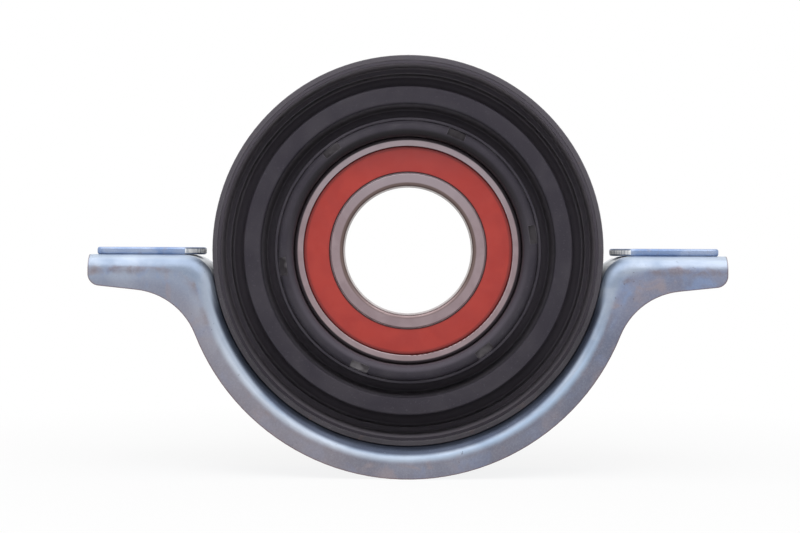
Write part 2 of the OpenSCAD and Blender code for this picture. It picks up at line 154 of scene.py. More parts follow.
class Finish:
    """One procedural material. Its patterns lie on object coordinates and are sized in metres."""

    def __init__(self, name, roughness, metallic):
        self.material = bpy.data.materials.new(name)
        self.material.use_nodes = True
        self.tree = self.material.node_tree
        self.shader = self.tree.nodes["Principled BSDF"]
        self.shader.inputs["Roughness"].default_value = roughness
        self.shader.inputs["Metallic"].default_value = metallic
        self.place = self.add("ShaderNodeTexCoord").outputs["Object"]

    def add(self, kind, **settings):
        node = self.tree.nodes.new(kind)
        for setting, value in settings.items():
            setattr(node, setting, value)
        return node

    def feed(self, socket, source):
        """Links an output to a socket, or writes a plain value on it."""
        if isinstance(source, bpy.types.NodeSocket):
            self.tree.links.new(source, socket)
        else:
            socket.default_value = source

    def noise(self, size, detail=3.0, distortion=0.0, place=None):
        """Cloudy pattern with features about as large as size."""
        node = self.add("ShaderNodeTexNoise")
        self.feed(node.inputs["Vector"], place or self.place)
        node.inputs["Scale"].default_value = 1 / size
        node.inputs["Detail"].default_value = detail
        node.inputs["Distortion"].default_value = distortion
        return node.outputs["Fac"]

    def radius(self):
        """Distance from the bearing axis."""
        flat = self.add("ShaderNodeVectorMath", operation="MULTIPLY")
        self.feed(flat.inputs[0], self.place)
        flat.inputs[1].default_value = (1, 0, 1)
        length = self.add("ShaderNodeVectorMath", operation="LENGTH")
        self.feed(length.inputs[0], flat.outputs["Vector"])
        return length.outputs["Value"]

    def along(self, axis):
        """Distance along X, Y or Z from the middle of the part."""
        split = self.add("ShaderNodeSeparateXYZ")
        self.feed(split.inputs[0], self.place)
        return split.outputs[axis]

    def offset(self, axis):
        """The same distance, counted positive on both sides."""
        size = self.add("ShaderNodeMath", operation="ABSOLUTE")
        self.feed(size.inputs[0], self.along(axis))
        return size.outputs["Value"]

    def upright(self):
        """1 on upright faces, 0 on level ones."""
        split = self.add("ShaderNodeSeparateXYZ")
        self.feed(split.inputs[0], self.add("ShaderNodeTexCoord").outputs["Normal"])
        lean = self.add("ShaderNodeMath", operation="ABSOLUTE")
        self.feed(lean.inputs[0], split.outputs["Z"])
        return self.fade(lean.outputs["Value"], 0.5, 0.2)

    def rings(self, size, detail=2.0):
        """Fine rings round the bearing axis, as a lathe or a grinding wheel leaves them."""
        node = self.add("ShaderNodeTexNoise", noise_dimensions="1D")
        self.feed(node.inputs["W"], self.radius())
        node.inputs["Scale"].default_value = 1 / size
        node.inputs["Detail"].default_value = detail
        return node.outputs["Fac"]

    def scratches(self, turn, length, width, amount):
        """Thin marks drawn out along one direction; a lower amount leaves more of them."""
        mapping = self.add("ShaderNodeMapping", vector_type="TEXTURE")
        self.feed(mapping.inputs["Vector"], self.place)
        mapping.inputs["Rotation"].default_value = [math.radians(angle) for angle in turn]
        mapping.inputs["Scale"].default_value = (length, width, width)
        return self.fade(self.noise(1, 1.0, 0.0, mapping.outputs["Vector"]), amount, amount + 0.04)

    def edges(self, width):
        """1 along sharp edges, 0 away from them."""
        bevel = self.add("ShaderNodeBevel", samples=6)
        bevel.inputs["Radius"].default_value = width
        geometry = self.add("ShaderNodeNewGeometry")
        match = self.add("ShaderNodeVectorMath", operation="DOT_PRODUCT")
        self.feed(match.inputs[0], bevel.outputs["Normal"])
        self.feed(match.inputs[1], geometry.outputs["Normal"])
        return self.fade(match.outputs["Value"], 0.99, 0.86)

    def fade(self, value, low, high, bottom=0.0, top=1.0):
        """Bottom where the value is under low, top where it is over high, smooth between."""
        node = self.add("ShaderNodeMapRange", interpolation_type="SMOOTHSTEP")
        self.feed(node.inputs["Value"], value)
        node.inputs["From Min"].default_value = low
        node.inputs["From Max"].default_value = high
        node.inputs["To Min"].default_value = bottom
        node.inputs["To Max"].default_value = top
        return node.outputs["Result"]

    def plus(self, first, second):
        node = self.add("ShaderNodeMath", operation="ADD")
        self.feed(node.inputs[0], first)
        self.feed(node.inputs[1], second)
        return node.outputs["Value"]

    def band(self, value, low, high):
        """1 from low to high, fading out over a fifth of a millimetre on both sides."""
        soft = 0.2 * MM
        return self.times(self.fade(value, low - soft, low), self.fade(value, high + soft, high))

    def lesser(self, first, second, blend):
        """The smaller of two values, with a soft change from one to the other."""
        node = self.add("ShaderNodeMath", operation="SMOOTH_MIN")
        self.feed(node.inputs[0], first)
        self.feed(node.inputs[1], second)
        node.inputs[2].default_value = blend
        return node.outputs["Value"]

    def times(self, first, second):
        node = self.add("ShaderNodeMath", operation="MULTIPLY")
        self.feed(node.inputs[0], first)
        self.feed(node.inputs[1], second)
        return node.outputs["Value"]

    def mix(self, share, first, second):
        """First colour where share is 0, second where it is 1."""
        node = self.add("ShaderNodeMix", data_type="RGBA")
        self.feed(node.inputs[0], share)
        self.feed(node.inputs[6], first)
        self.feed(node.inputs[7], second)
        return node.outputs[2]

    def dent(self, height, depth, below=None):
        """Surface relief of that depth, laid over the relief in below."""
        node = self.add("ShaderNodeBump")
        node.inputs["Distance"].default_value = depth
        self.feed(node.inputs["Height"], height)
        if below is not None:
            self.feed(node.inputs["Normal"], below)
        return node.outputs["Normal"]

    def wear(self, colour=None, roughness=None, relief=None):
        """Connects the finished patterns to the shader."""
        if colour is not None:
            self.feed(self.shader.inputs["Base Color"], colour)
        if roughness is not None:
            self.feed(self.shader.inputs["Roughness"], roughness)
        if relief is not None:
            self.feed(self.shader.inputs["Normal"], relief)
        return self.material


def strap_finish():
    """Clear zinc plating on the pressed strap with wear and brown edges, and painted light: painted
    highlight on the bends and web, painted shade on the flanges.
    """
    finish = Finish("strap_zinc", 0.4, 0.85)
    clouds = finish.noise(15 * MM, 5.0, 0.6)
    from_seat = finish.plus(finish.radius(), -SEAT)
    from_ear = finish.plus(finish.times(finish.along("Z"), -1.0), PLATE_LOW)
    depth = finish.lesser(from_seat, from_ear, 14 * MM)
    flat = strap_flat(finish, from_ear, depth)
    flange = strap_flange(finish, clouds, from_ear, depth)
    bend = strap_bend(finish, clouds, from_ear, depth)
    colour = strap_wear(finish, finish.mix(flat, bend, flange), clouds, depth, flat)
    # Painted light: the strap's web beside the shell is painted pale and less metallic, standing in
    # for the light on it.
    web = finish.times(
        finish.fade(finish.offset("Y"), 11.6 * MM, 10.4 * MM),
        finish.fade(depth, 1.6 * MM, 0.6 * MM),
    )
    web = finish.times(web, finish.fade(finish.offset("X"), 64 * MM, 58 * MM))
    colour = finish.mix(finish.times(web, 0.8), colour, display(222, 226, 230))
    finish.feed(finish.shader.inputs["Metallic"], finish.fade(web, 0.0, 1.0, 0.85, 0.4))
    roughness = finish.fade(finish.noise(5 * MM, 4.0), 0.3, 0.7, 0.34, 0.48)
    relief = finish.dent(finish.noise(9 * MM, 2.0), 0.25 * MM)
    relief = finish.dent(finish.noise(PLATING_GRAIN, 3.0), PLATING_GRAIN_DEPTH, relief)
    return finish.wear(colour, roughness, relief)


def strap_flat(finish, from_ear, depth):
    """1 on the flat flanges, 0 on the bend, with a line between them that wanders a little."""
    wander = finish.plus(
        finish.noise(11 * MM, 3.0, 0.5), finish.times(finish.noise(2 * MM, 4.0), 0.5)
    )
    reach = finish.fade(from_ear, 6 * MM, 16 * MM, 2.6 * MM, 0.7 * MM)
    wander = finish.times(finish.plus(wander, -0.66), reach)
    towards_end = finish.fade(finish.offset("X"), 58 * MM, 70 * MM, 0.0, 0.6 * MM)
    wander = finish.plus(wander, towards_end)
    return finish.fade(finish.plus(depth, wander), 2.9 * MM, 4.9 * MM)


def strap_flange(finish, clouds, from_ear, depth):
    """Colour of the flat flanges: cloudy plating with grey and blue stains, with painted light on
    the left and painted shade on the right and towards the outer edge.
    """
    across = finish.along("X")
    height = finish.along("Z")
    cloudy = finish.fade(clouds, 0.38, 0.64)
    # Painted light and shade: the upper flanges are painted lighter on the left and darker on the
    # right; towards the bottom they are darker.
    left = finish.mix(cloudy, display(140, 150, 170), display(162, 171, 188))
    right = finish.mix(cloudy, display(110, 119, 142), display(130, 137, 159))
    upper = finish.mix(finish.fade(across, 30 * MM, -30 * MM), right, left)
    lower = finish.mix(cloudy, display(113, 116, 130), display(131, 133, 147))
    colour = finish.mix(finish.fade(height, -56 * MM, -8 * MM), lower, upper)
    # Painted shade towards the outer edge of the flanges.
    outer = finish.fade(depth, 5 * MM, 8.6 * MM, 0.0, 0.42)
    colour = finish.mix(outer, colour, display(114, 110, 123))
    stains = finish.fade(finish.noise(7 * MM, 4.0, 0.8), 0.5, 0.68, 0.0, 0.65)
    colour = finish.mix(stains, colour, display(148, 137, 141))
    blue = finish.fade(finish.noise(6 * MM, 3.0, 0.6), 0.5, 0.7, 0.0, 0.6)
    blue = finish.times(blue, finish.fade(height, -45 * MM, -10 * MM, 0.4, 1.0))
    colour = finish.mix(blue, colour, display(126, 146, 182))
    warm = finish.times(
        finish.fade(across, -4 * MM, -22 * MM), finish.fade(from_ear, 6 * MM, 20 * MM, 0.0, 0.55)
    )
    colour = finish.mix(warm, colour, display(140, 133, 139))
    # Painted shade on the right flange.
    right_shade = finish.times(
        finish.fade(across, 12 * MM, 30 * MM), finish.fade(from_ear, 14 * MM, 30 * MM, 0.0, 0.45)
    )
    return finish.mix(right_shade, colour, display(104, 106, 120))


def strap_bend(finish, clouds, from_ear, depth):
    """Colour of the bend, painted paler than the flanges as a painted highlight, brightest along
    its crown, with painted shade where it goes in under the shell.
    """
    cloudy = finish.fade(clouds, 0.4, 0.6)
    colour = finish.mix(cloudy, display(134, 147, 167), display(156, 166, 182))
    # Painted highlight along the crown of the ear bends.
    crown_highlight = finish.fade(from_ear, 1.8 * MM, 0.4 * MM, 0.0, 0.35)
    crown_highlight = finish.times(crown_highlight, finish.fade(finish.offset("X"), 54 * MM, 60 * MM))
    colour = finish.mix(crown_highlight, colour, display(206, 220, 236))
    # Painted highlight on the bend, bluer on the right and greyer on the left.
    leftwards = finish.fade(finish.along("X"), 26 * MM, -26 * MM)
    highlight_colour = finish.mix(leftwards, display(168, 190, 216), display(198, 207, 220))
    pale = finish.times(
        finish.fade(depth, 2.2 * MM, 3.2 * MM, 0.0, 0.65), finish.fade(from_ear, 14 * MM, 30 * MM)
    )
    colour = finish.mix(pale, colour, highlight_colour)
    # Painted shade where the bend goes in under the shell, wider towards the bottom.
    shift = finish.fade(finish.along("Z"), -54 * MM, -26 * MM, -0.45 * MM, 0.25 * MM)
    shaded = finish.fade(finish.plus(depth, shift), 2.3 * MM, 1.3 * MM, 0.0, 0.93)
    shaded = finish.times(shaded, finish.fade(from_ear, 8 * MM, 16 * MM))
    return finish.mix(shaded, colour, display(54, 60, 76))


def strap_wear(finish, colour, clouds, depth, flat):
    """Adds the stained line beside the bend, fine grain, pits, scratches and brown cut edges."""
    seam = finish.times(finish.fade(flat, 0.3, 0.9), finish.fade(depth, 6.2 * MM, 4.2 * MM))
    patchy = finish.fade(finish.noise(5 * MM, 4.0, 0.6), 0.42, 0.62, 0.1, 0.7)
    seam = finish.times(seam, patchy)
    seam = finish.times(seam, finish.fade(finish.offset("X"), 52 * MM, 60 * MM, 0.4, 1.0))
    colour = finish.mix(seam, colour, display(124, 114, 118))
    grain = finish.fade(finish.noise(0.4 * MM, 2.0), 0.4, 0.7)
    grain = finish.times(grain, finish.fade(depth, 1.6 * MM, 3 * MM, 0.0, 0.09))
    colour = finish.mix(grain, colour, display(186, 189, 196))
    pits = finish.fade(finish.noise(0.8 * MM, 2.0), 0.68, 0.74, 0.0, 0.5)
    pits = finish.times(pits, finish.fade(clouds, 0.48, 0.58))
    colour = finish.mix(pits, colour, display(84, 80, 92))
    marks = finish.scratches((20, 35, 60), 5 * MM, SCRATCH_WIDTH, 0.74)
    colour = finish.mix(finish.times(marks, 0.35), colour, display(214, 222, 236))
    cut = finish.plus(
        finish.fade(depth, 6.4 * MM, 7.2 * MM), finish.fade(finish.offset("X"), 84 * MM, 85 * MM)
    )
    cut = finish.times(finish.edges(0.7 * MM), cut)
    return finish.mix(cut, colour, display(104, 80, 78))


def plate_finish():
    """Bluer zinc plating on the ear plates, paler along the edges, bare at the sheared corners."""
    finish = Finish("plate_zinc", 0.42, 0.85)
    clouds = finish.fade(finish.noise(9 * MM, 5.0, 0.8), 0.38, 0.64)
    colour = finish.mix(clouds, display(122, 142, 178), display(150, 164, 190))
    stains = finish.fade(finish.noise(3 * MM, 5.0, 1.0), 0.54, 0.7, 0.0, 0.6)
    colour = finish.mix(stains, colour, display(138, 138, 152))
    marks = finish.scratches((10, 50, 80), 4 * MM, SCRATCH_WIDTH, 0.7)
    colour = finish.mix(finish.times(marks, 0.6), colour, display(208, 216, 230))
    colour = finish.mix(finish.times(finish.edges(0.4 * MM), 0.6), colour, display(196, 204, 216))
    cut_end = PLATE_IN + PLATE_CUT
    sheared = finish.fade(finish.offset("X"), cut_end + 0.2 * MM, cut_end)
    sheared = finish.times(sheared, finish.upright())
    lines = finish.scratches((0, 90, 0), 6 * MM, 0.3 * MM, 0.5)
    bare = finish.mix(lines, display(248, 249, 249), display(200, 204, 210))
    colour = finish.mix(sheared, colour, bare)
    finish.feed(finish.shader.inputs["Metallic"], finish.fade(sheared, 0.0, 1.0, 0.85, 0.1))
    roughness = finish.fade(finish.noise(3 * MM, 4.0), 0.3, 0.7, 0.36, 0.52)
    relief = finish.dent(finish.noise(4 * MM, 3.0), 0.2 * MM)
    relief = finish.dent(finish.noise(PLATING_GRAIN, 3.0), PLATING_GRAIN_DEPTH, relief)
    return finish.wear(colour, roughness, relief)


def rubber_finish():
    """Moulded black rubber with a fine grain, a dusty bloom and rubbed edges, with painted glints
    on the edges, painted light in the deep parts and painted light and shade on the bead, walls,
    lining and rim.
    """
    finish = Finish("moulded_rubber", 0.5, 0.0)
    finish.shader.inputs["Specular IOR Level"].default_value = 0.1
    bloom = finish.fade(finish.noise(11 * MM, 5.0, 0.4), 0.36, 0.68)
    colour = finish.mix(bloom, display(52, 49, 56), display(60, 57, 63))
    dust = finish.fade(finish.noise(0.55 * MM, 2.0), 0.62, 0.74, 0.0, 0.4)
    colour = finish.mix(dust, colour, display(80, 76, 84))
    radius = finish.radius()
    level = finish.along("Y")
    height = finish.along("Z")
    # Painted light: the deeper parts, behind the front, are painted lighter so that the shade in
    # the grooves is less dark.
    deep = finish.fade(level, 0.5 * MM, 2.5 * MM)
    colour = finish.mix(deep, colour, display(72, 68, 75))
    # Painted light and shade on the bead: lighter below, darker above.
    bead = finish.times(
        finish.fade(radius, 33.2 * MM, 32.2 * MM), finish.fade(level, -8 * MM, -9 * MM)
    )
    upwards = finish.fade(height, -30 * MM, 30 * MM)
    bead_shade = finish.mix(upwards, display(76, 72, 80), display(36, 34, 37))
    colour = finish.mix(bead, colour, bead_shade)
    # Painted light on the groove walls, lighter towards the top.
    walls = finish.plus(
        finish.band(radius, 38.9 * MM, 40 * MM), finish.band(radius, 48.4 * MM, 49 * MM)
    )
    walls = finish.times(walls, finish.fade(level, -8.6 * MM, -5 * MM, 0.0, 0.9))
    above = finish.fade(height, -30 * MM, 45 * MM)
    wall_shade = finish.mix(above, display(96, 92, 99), display(124, 119, 126))
    colour = finish.mix(walls, colour, wall_shade)
    # Painted light on the lining wall, lighter towards the top.
    lining = finish.fade(radius, LINING_IN - 0.5 * MM, LINING_IN - 0.1 * MM)
    lining_shade = finish.mix(above, display(88, 84, 90), display(112, 107, 113))
    colour = finish.mix(lining, colour, lining_shade)
    # Painted light and shade on the front rim of the lining, taken from rim_shade.
    rim = finish.times(lining, finish.fade(level, -11.4 * MM, -11.7 * MM))
    colour = finish.mix(rim, colour, rim_shade(finish))
    # Lighter along sharp edges, in patches: painted glints, and some wear of rubbed edges.
    wear_and_glints = finish.fade(finish.noise(5 * MM, 3.0), 0.42, 0.62, 0.1, 0.75)
    wear_and_glints = finish.times(finish.edges(0.2 * MM), wear_and_glints)
    colour = finish.mix(wear_and_glints, colour, display(112, 108, 114))
    roughness = finish.fade(finish.noise(3 * MM, 4.0), 0.3, 0.7, 0.42, 0.6)
    relief = finish.dent(finish.rings(0.6 * MM), 0.01 * MM)
    relief = finish.dent(finish.noise(0.35 * MM, 3.0), 0.02 * MM, relief)
    return finish.wear(colour, roughness, relief)


def rim_shade(finish):
    """Black of the outer rim, with painted shade below and painted light above."""
    above = finish.fade(finish.along("Z"), -38 * MM, 38 * MM)
    return finish.mix(above, display(44, 41, 47), display(71, 67, 74))


def shell_finish():
    """Black coated steel shell, paler in patches and faintly rusty, with painted light above,
    painted shade below and painted glints on its edges.
    """
    finish = Finish("black_shell", 0.45, 0.2)
    patches = finish.fade(finish.noise(13 * MM, 5.0, 0.8), 0.4, 0.66, 0.0, 0.3)
    # The base black comes from rim_shade: painted light above, painted shade below.
    colour = finish.mix(patches, rim_shade(finish), display(72, 68, 74))
    rust = finish.fade(finish.noise(5 * MM, 6.0, 1.0), 0.6, 0.78, 0.0, 0.35)
    colour = finish.mix(rust, colour, display(100, 78, 70))
    marks = finish.scratches((0, 30, 15), 6 * MM, SCRATCH_WIDTH, 0.72)
    colour = finish.mix(finish.times(marks, 0.5), colour, display(140, 138, 142))
    # Painted glints along the shell's edges, in patches.
    wear_and_glints = finish.fade(finish.noise(7 * MM, 4.0), 0.5, 0.72, 0.1, 1.0)
    wear_and_glints = finish.times(finish.edges(0.3 * MM), wear_and_glints)
    colour = finish.mix(wear_and_glints, colour, display(158, 156, 160))
    roughness = finish.fade(finish.noise(4 * MM, 4.0), 0.3, 0.7, 0.4, 0.58)
    relief = finish.dent(finish.noise(0.6 * MM, 3.0), 0.015 * MM)
    return finish.wear(colour, roughness, relief)


def steel_finish(name, shade, pale, roughness, ring_size):
    """Plain bearing steel, for the balls and the cage."""
    finish = Finish(name, roughness, 1.0)
    return finish.wear(*steel_pattern(finish, shade, pale, roughness, ring_size))


def steel_pattern(finish, shade, pale, roughness, ring_size):
    """Colour, roughness and relief of steel with a cloudy tarnish and fine rings from the wheel."""
    tarnish = finish.fade(finish.noise(5 * MM, 5.0, 0.5), 0.35, 0.68)
    colour = finish.mix(tarnish, shade, pale)
    lines = finish.rings(ring_size)
    colour = finish.mix(finish.fade(lines, 0.3, 0.7, 0.0, 0.25), colour, pale)
    rough = finish.fade(finish.noise(2 * MM, 4.0), 0.3, 0.7, roughness - 0.06, roughness + 0.08)
    relief = finish.dent(lines, 0.004 * MM)
    relief = finish.dent(finish.noise(0.3 * MM, 2.0), 0.003 * MM, relief)
    return colour, rough, relief


def sleeve_finish():
    """Dark sleeve steel, with painted glints on the front flange, stronger on the left."""
    finish = Finish("sleeve_steel", 0.45, 1.0)
    shade, pale = display(50, 47, 50), display(70, 67, 70)
    colour, rough, relief = steel_pattern(finish, shade, pale, 0.45, 0.4 * MM)
    # Painted glints in streaks on the front flange, where the notches show it, stronger on the
    # left.
    wear_and_glints = finish.fade(finish.along("Y"), -7.4 * MM, -8.6 * MM)
    wear_and_glints = finish.times(wear_and_glints, finish.fade(finish.along("X"), 12 * MM, -8 * MM, 0.45, 1.0))
    glint_streaks = finish.times(wear_and_glints, finish.fade(finish.noise(3.5 * MM, 2.0), 0.44, 0.7))
    colour = finish.mix(glint_streaks, colour, display(112, 109, 112))
    return finish.wear(colour, rough, relief)


def race_finish():
    """Ground race steel, with painted light above, and painted shade that browns the bore edge and
    darkens the outer corner.
    """
    finish = Finish("race_steel", 0.34, 1.0)
    shade, pale = display(146, 129, 133), display(158, 141, 145)
    colour, rough, relief = steel_pattern(finish, shade, pale, 0.34, 0.12 * MM)
    radius = finish.radius()
    height = finish.along("Z")
    # Painted light: the upper part of the races is painted paler and cooler.
    top_light = finish.fade(height, 4 * MM, 22 * MM, 0.0, 0.75)
    colour = finish.mix(top_light, colour, display(160, 149, 155))
    # Painted shade at the bore edge, darker and browner, stronger above.
    bore_shade = finish.fade(radius, 18.75 * MM, 18.3 * MM, 0.0, 0.9)
    bore_shade = finish.times(bore_shade, finish.fade(height, -17 * MM, -6 * MM, 0.5, 1.0))
    colour = finish.mix(bore_shade, colour, display(104, 88, 83))
    # Painted shade at the outer corner of the races: darker and less metallic, where the gap to the
    # bead lies in shade.
    corner = finish.fade(radius, 29.85 * MM, 30.1 * MM)
    colour = finish.mix(corner, colour, display(60, 53, 58))
    finish.feed(finish.shader.inputs["Metallic"], finish.fade(corner, 0.0, 1.0, 1.0, 0.2))
    return finish.wear(colour, rough, relief)


def seal_finish():
    """Red moulded seal rubber, matt and faintly grained, with painted shade above and at lip and
    rim.
    """
    finish = Finish("red_seal", 0.55, 0.0)
    finish.shader.inputs["Specular IOR Level"].default_value = 0.3
    clouds = finish.fade(finish.noise(7 * MM, 5.0, 0.5), 0.34, 0.68)
    colour = finish.mix(clouds, display(152, 52, 47), display(160, 56, 49))
    specks = finish.fade(finish.noise(0.5 * MM, 2.0), 0.64, 0.75, 0.0, 0.25)
    colour = finish.mix(specks, colour, display(120, 42, 42))
    # Painted shade: the seal is painted darker towards the top.
    top_shade = finish.fade(finish.along("Z"), 17 * MM, 29 * MM, 0.0, 0.7)
    colour = finish.mix(top_shade, colour, display(134, 54, 53))
    radius = finish.radius()
    # Painted shade at the lip and the outer rim, where the seal meets the races.
    rim = finish.fade(radius, 27.2 * MM, 27.9 * MM, 0.0, 0.6)
    lip = finish.fade(radius, 21.75 * MM, 21.35 * MM)
    colour = finish.mix(finish.plus(rim, lip), colour, display(74, 32, 34))
    roughness = finish.fade(finish.noise(2.5 * MM, 4.0), 0.3, 0.7, 0.48, 0.64)
    relief = finish.dent(finish.rings(0.5 * MM), 0.008 * MM)
    relief = finish.dent(finish.noise(0.4 * MM, 3.0), 0.014 * MM, relief)
    return finish.wear(colour, roughness, relief)


def dress(material, *names):
    """Gives CAD nodes a finish."""
    for name in names:
        for slot in cad_nodes[name].material_slots:
            slot.material = material


def begin():
    """Deselects everything before something new is added."""
    bpy.ops.object.select_all(action="DESELECT")


def finish_piece(piece, name, material, slot, *replaced):
    """Names a finished piece, gives it its material and ties it to the fixed support."""
    piece.name = name
    piece.data.name = name
    piece.data.materials.clear()
    piece.data.materials.append(material)
    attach(piece, "support")
    if replaced:
        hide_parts(*replaced)


def arc(across, level, radius, start, end, steps):
    """Points of a section along a circle, from one angle to the other in degrees."""
    points = []
    for step in range(steps + 1):
        angle = math.radians(start + (end - start) * step / steps)
        points.append((across + radius * math.cos(angle), level + radius * math.sin(angle)))
    return points


def turn_section(points):
    """Draws a closed section vertex by vertex and spins it round the bearing axis."""
    begin()
    first = points[0]
    bpy.ops.mesh.primitive_plane_add(size=MM, location=(first[0], -first[1], 0))
    bpy.ops.object.transform_apply(location=True)
    bpy.ops.object.mode_set(mode="EDIT")
    bpy.ops.mesh.select_all(action="SELECT")
    bpy.ops.mesh.merge(type="CENTER")
    for here, there in zip(points, points[1:] + points[:1]):
        step = (there[0] - here[0], here[1] - there[1], 0)
        bpy.ops.mesh.extrude_region_move(TRANSFORM_OT_translate={"value": step})
    bpy.ops.mesh.select_all(action="SELECT")
    bpy.ops.mesh.remove_doubles(threshold=MERGE_WITHIN)
    bpy.ops.mesh.select_all(action="SELECT")
    bpy.ops.mesh.spin(steps=SPIN_STEPS, angle=math.tau, center=(0, 0, 0), axis=(0, 1, 0))
    bpy.ops.mesh.select_all(action="SELECT")
    bpy.ops.mesh.remove_doubles(threshold=MERGE_WITHIN)
    bpy.ops.mesh.normals_make_consistent(inside=False)
    bpy.ops.object.mode_set(mode="OBJECT")
    return bpy.context.object


def cut_away(piece, cutter):
    """Cuts one shape out of another and removes the cutter."""
    begin()
    piece.select_set(True)
    bpy.context.view_layer.objects.active = piece
    modifier = piece.modifiers.new("cut", "BOOLEAN")
    modifier.operation = "DIFFERENCE"
    modifier.solver = "EXACT"
    modifier.object = cutter
    bpy.ops.object.modifier_apply(modifier=modifier.name)
    bpy.data.objects.remove(cutter)


def rubber_section():
    """Outline of the moulded bellows, from the bead out over the front and back along the rear."""
    bead_end = math.degrees(math.asin((COLLAR_FACE - SLEEVE_FRONT) / BEAD_RADIUS))
    lip = LINING_EDGE
    points = arc(BEAD_AT, SLEEVE_FRONT, BEAD_RADIUS, 180, bead_end, 24)
    points += [(PARTING_AT, COLLAR_FACE - PARTING_DEPTH), (PARTING_OUT, COLLAR_FACE)]
    points += arc(COLLAR_OUT - lip, COLLAR_FACE - lip, lip, 90, 0, 4)
    points += arc(INNER_GROOVE_AT, INNER_GROOVE_TURN, INNER_GROOVE_RADIUS, 180, 360, 16)
    points += arc(RIDGE_IN + RIDGE_EDGE, RIDGE_FACE - RIDGE_EDGE, RIDGE_EDGE, 180, 90, 6)
    points += arc(RIDGE_OUT - RIDGE_EDGE, RIDGE_FACE - RIDGE_EDGE, RIDGE_EDGE, 90, 0, 6)
    points += arc(OUTER_GROOVE_AT, OUTER_GROOVE_TURN, OUTER_GROOVE_RADIUS, 180, 360, 16)
    points += arc(STEP_AT + STEP_EDGE, STEP_FACE - STEP_EDGE, STEP_EDGE, 180, 90, 6)
    points += arc(LINING_IN - STEP_HOLLOW, STEP_FACE + STEP_HOLLOW, STEP_HOLLOW, -90, 0, 6)
    points += arc(LINING_IN + lip, LINING_END - lip, lip, 180, 90, 3)
    points += [(LINING_OUT, LINING_END), (LINING_OUT, -LINING_END)]
    outer_fold = BACK_GROOVE_AT + BACK_GROOVE_MOUTH + FOLD_RADIUS
    inner_fold = BACK_GROOVE_AT - BACK_GROOVE_MOUTH - FOLD_RADIUS
    points += arc(outer_fold, -LINING_END + FOLD_RADIUS, FOLD_RADIUS, 270, 180, 8)
    points += [(BACK_GROOVE_AT + BACK_GROOVE_MOUTH, SLEEVE_BACK + FOLD_RADIUS)]
    points += arc(BACK_GROOVE_AT, BACK_GROOVE_TURN, BACK_GROOVE_HALF, 0, 180, 12)
    points += arc(inner_fold, SLEEVE_BACK + FOLD_RADIUS, FOLD_RADIUS, 0, -90, 8)
    points += [(SLEEVE_OUT, SLEEVE_BACK), (SLEEVE_OUT, FLANGE_BACK)]
    points += [(FLANGE_OUT, FLANGE_BACK), (FLANGE_OUT, SLEEVE_FRONT)]
    return points


def notch_cutter():
    """Six small blocks, one where each mould support left its notch in the bead."""
    begin()
    blocks = []
    for number in range(NOTCH_COUNT):
        angle = math.radians(NOTCH_ANGLE + number * 360 / NOTCH_COUNT)
        middle = NOTCH_FLOOR + BEAD_RADIUS
        place = (NOTCH_AT * math.cos(angle), -middle, NOTCH_AT * math.sin(angle))
        bpy.ops.mesh.primitive_cube_add(size=1, location=place, rotation=(0, -angle, 0))
        block = bpy.context.object
        block.scale = (NOTCH_WIDTH, 2 * BEAD_RADIUS, NOTCH_LENGTH)
        blocks.append(block)
    for block in blocks:
        block.select_set(True)
    bpy.ops.object.join()
    bpy.ops.object.transform_apply(location=True, rotation=True, scale=True)
    return bpy.context.object


def build_bellows(material):
    """Moulded rubber ring with the notches cut into its bead."""
    bellows = turn_section(rubber_section())
    cut_away(bellows, notch_cutter())
    bpy.ops.object.shade_smooth_by_angle(angle=RUBBER_SMOOTH)
    finish_piece(bellows, "bellows", material, "black_rubber", "rubber_cushion")


def build_flash(material):
    """Thin uneven fin that the mould left standing on its parting line beside the bead."""
    low = COLLAR_FACE - 2 * PARTING_DEPTH
    tip = (PARTING_AT, COLLAR_FACE + FLASH_RISE)
    flash = turn_section([(PARTING_IN, low), tip, (PARTING_OUT, low)])
    uneven = flash.modifiers.new("uneven", "DISPLACE")
    uneven.texture = bpy.data.textures.new("flash_height", "CLOUDS")
    uneven.texture.noise_scale = FLASH_LUMPS
    uneven.texture_coords = "LOCAL"
    uneven.direction = "Y"
    uneven.mid_level = 0.5
    uneven.strength = FLASH_UNEVEN
    bpy.ops.object.modifier_apply(modifier=uneven.name)
    bpy.ops.object.shade_smooth_by_angle(angle=RUBBER_SMOOTH)
    finish_piece(flash, "bead_flash", material, "black_rubber")


def build_ear_plate(side, material):
    """Slotted plate on one ear: cut corners next to the shell, rounded edges all round."""
    begin()
    middle = (PLATE_IN + PLATE_OUT) / 2
    centre = (side * middle, 0, PLATE_LOW + PLATE_THICK / 2)
    bpy.ops.mesh.primitive_cube_add(size=1, location=centre)
    plate = bpy.context.object
    plate.scale = (PLATE_OUT - PLATE_IN, 2 * PLATE_HALF, PLATE_THICK)
    bpy.ops.object.transform_apply(location=True, rotation=True, scale=True)
    bpy.ops.object.mode_set(mode="EDIT")
    for edge in (-1, 1):
        bpy.ops.mesh.select_all(action="SELECT")
        corner = (side * PLATE_IN, edge * (PLATE_HALF - PLATE_CUT_DEPTH), 0)
        outwards = Vector((-side * PLATE_CUT_DEPTH, edge * PLATE_CUT, 0)).normalized()
        bpy.ops.mesh.bisect(plane_co=corner, plane_no=outwards, use_fill=True, clear_outer=True)
    bpy.ops.object.mode_set(mode="OBJECT")
    round_corners(plate, side)
    cut_away(plate, slot_cutter(side))
    bevel = plate.modifiers.new("edges", "BEVEL")
    bevel.width = PLATE_EDGE
    bevel.segments = 4
    bevel.limit_method = "ANGLE"
    bevel.angle_limit = math.radians(40)
    bpy.ops.object.modifier_apply(modifier=bevel.name)
    bpy.ops.object.shade_smooth_by_angle(angle=PLATE_SMOOTH)
    name = "left" if side < 0 else "right"
    finish_piece(plate, "ear_pad_" + name, material, "zinc_plate", "ear_plate_" + name)


